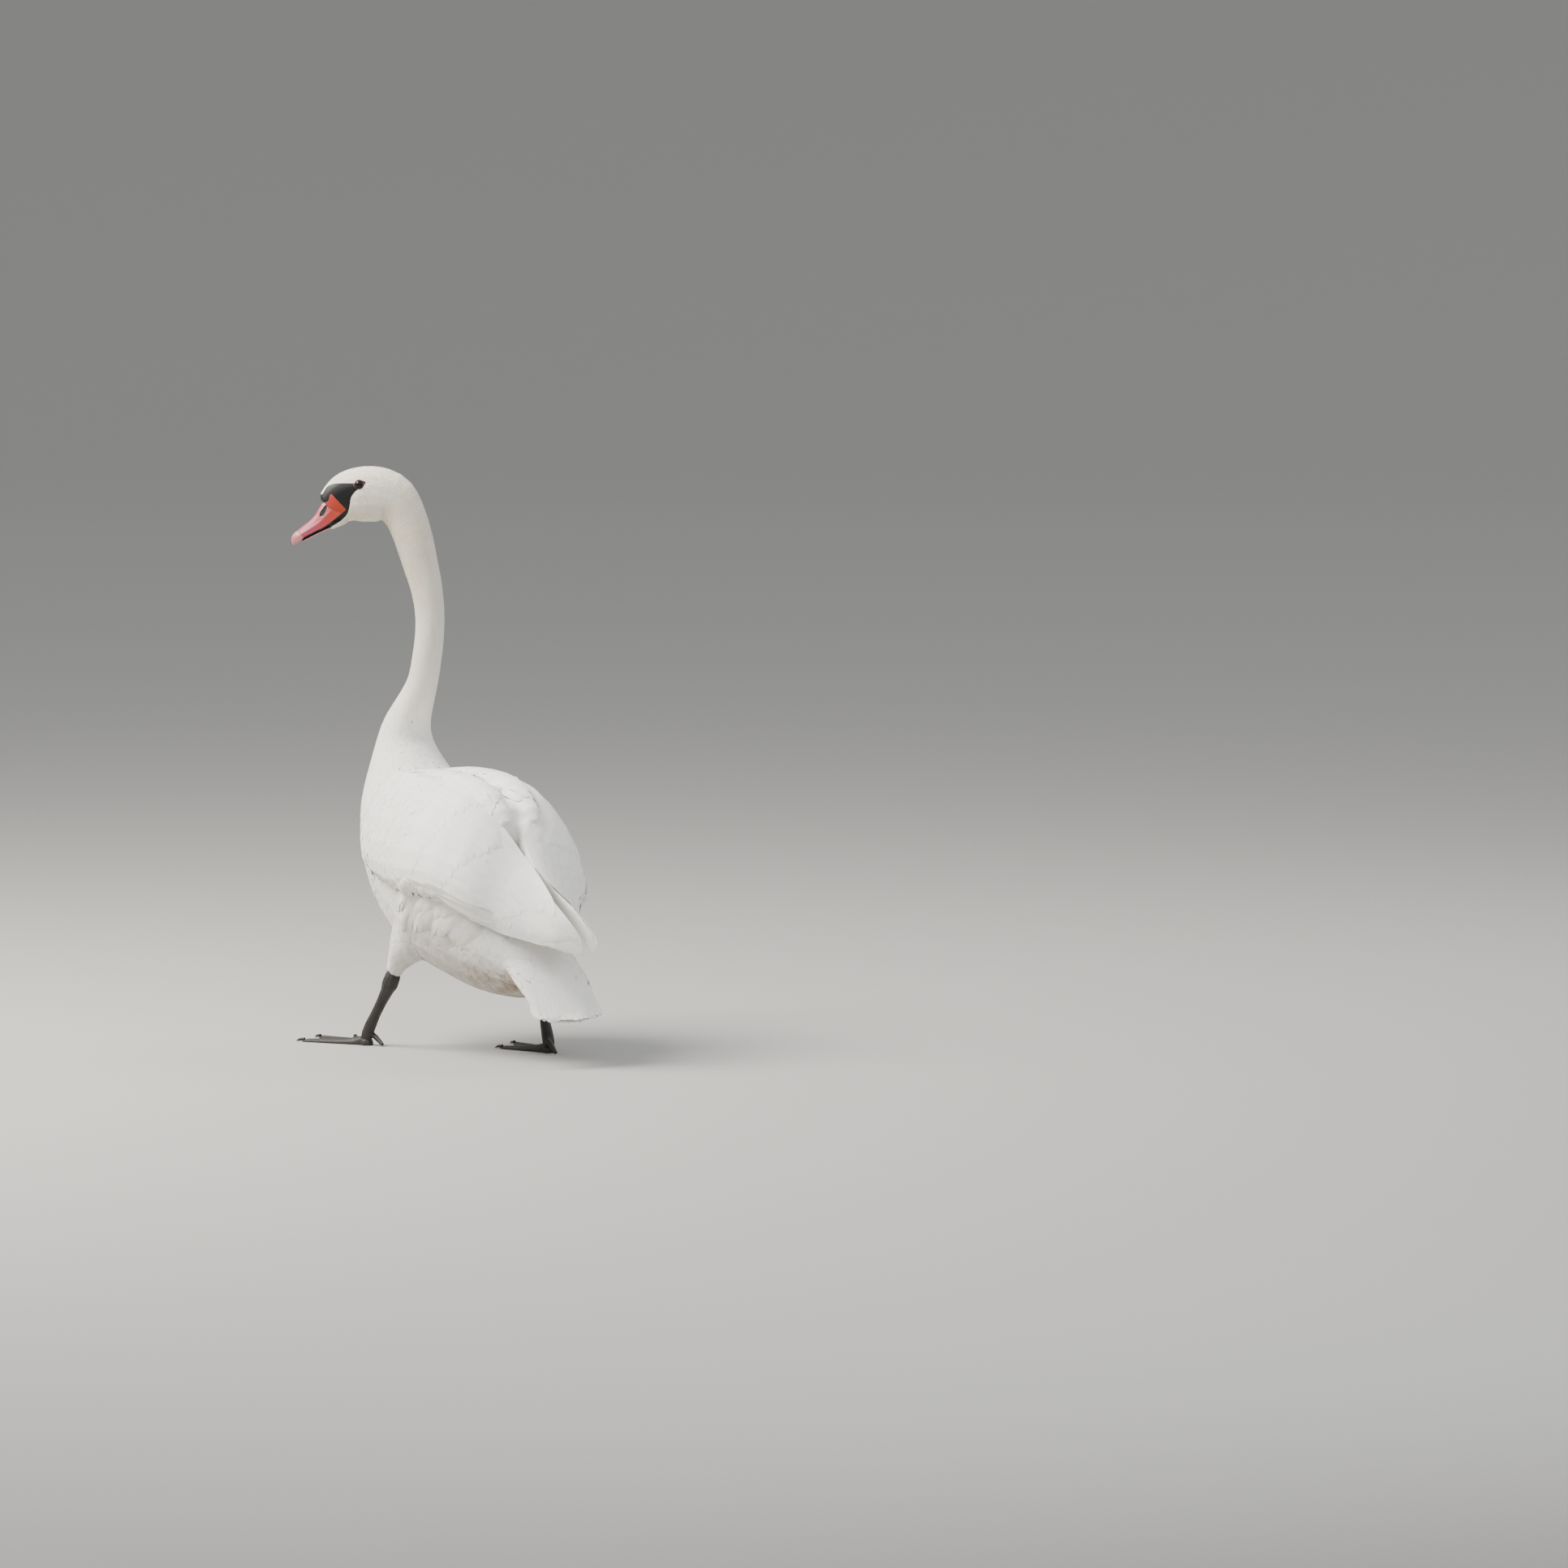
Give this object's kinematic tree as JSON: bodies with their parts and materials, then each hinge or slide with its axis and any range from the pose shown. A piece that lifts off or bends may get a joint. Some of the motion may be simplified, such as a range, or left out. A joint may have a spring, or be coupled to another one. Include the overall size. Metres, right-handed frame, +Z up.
{
  "type": "mute swan",
  "caption": "Still, life-size model of an adult mute swan that walks with its neck raised and its head turned to the left, for display.",
  "frame": {"origin": "on the floor, under the middle of the model's bounding box", "axes": "+Z up; the bird's body faces -Y, its tail is towards +Y and its left side is +X; the head is turned towards +X"},
  "size_m": [0.3376, 0.5882, 0.9156],
  "materials": {
    "white_feathers": "matte",
    "orange_horn": "satin",
    "black_skin": "satin",
    "dark_eye": "gloss"
  },
  "bodies": {
    "root": {"trunk": "white_feathers", "neck_lower": "white_feathers", "neck_middle": "white_feathers", "neck_upper": "white_feathers", "head": "white_feathers", "wing_left": "white_feathers", "wing_right": "white_feathers", "flight_feathers_left": "white_feathers", "flight_feathers_right": "white_feathers", "scapulars_left": "white_feathers", "scapulars_right": "white_feathers", "tail": "white_feathers", "thigh_left": "white_feathers", "thigh_right": "white_feathers", "bill_upper": "orange_horn", "bill_lower": "orange_horn", "bill_nail": "orange_horn", "knob": "black_skin", "eye_left": "dark_eye", "eye_right": "dark_eye", "shank_left": "black_skin", "shank_right": "black_skin", "foot_left": "black_skin", "foot_right": "black_skin", "hind_toe_left": "black_skin", "hind_toe_right": "black_skin", "claw_inner_left": "black_skin", "claw_middle_left": "black_skin", "claw_outer_left": "black_skin", "claw_inner_right": "black_skin", "claw_middle_right": "black_skin", "claw_outer_right": "black_skin"}
  },
  "joints": []
}
